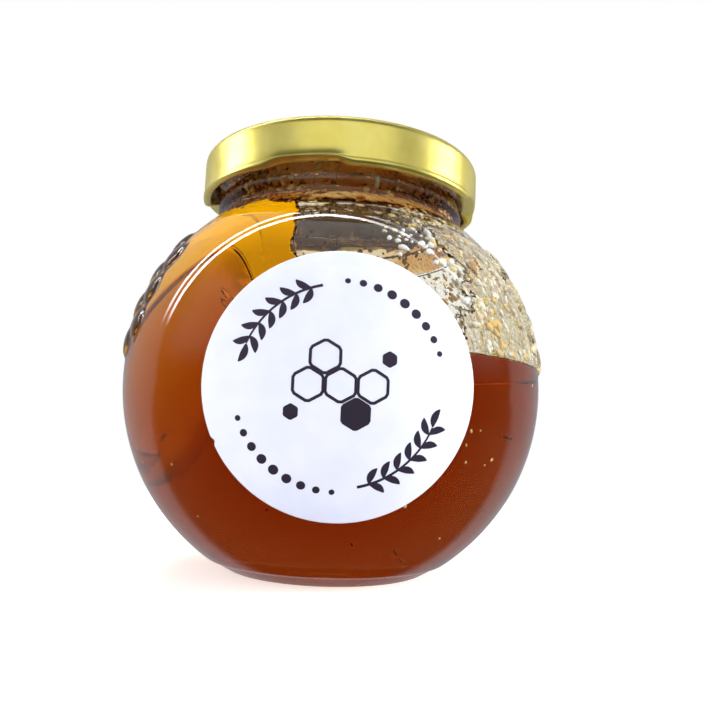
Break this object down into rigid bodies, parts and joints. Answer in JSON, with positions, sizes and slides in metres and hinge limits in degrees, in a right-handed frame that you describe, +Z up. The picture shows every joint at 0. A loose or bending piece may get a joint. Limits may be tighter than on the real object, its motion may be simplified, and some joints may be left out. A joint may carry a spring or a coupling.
{
  "type": "honey jar",
  "caption": "Ball-shaped clear glass jar of honey with a gold twist-off tin lid, a round paper label on its front and moulded honeycomb cells on both sides.",
  "frame": {"origin": "on the jar's axis, in the plane of the ring that it stands on", "axes": "+Z up through the lid, the round label faces -Y, the moulded cells lie on the +X and -X sides"},
  "size_m": [0.0814, 0.0809, 0.0806],
  "materials": {
    "glass": "clear soda-lime glass, glossy, with moulded relief",
    "honey": "clear dark amber syrup with small bubbles",
    "lid_gold": "satin gold lacquer on tinplate",
    "label_paper": "matt white paper with a dark printed pattern"
  },
  "bodies": {
    "root": {"glass_jar": "glass", "honey": "honey", "lid": "lid_gold", "label": "label_paper"}
  },
  "joints": []
}
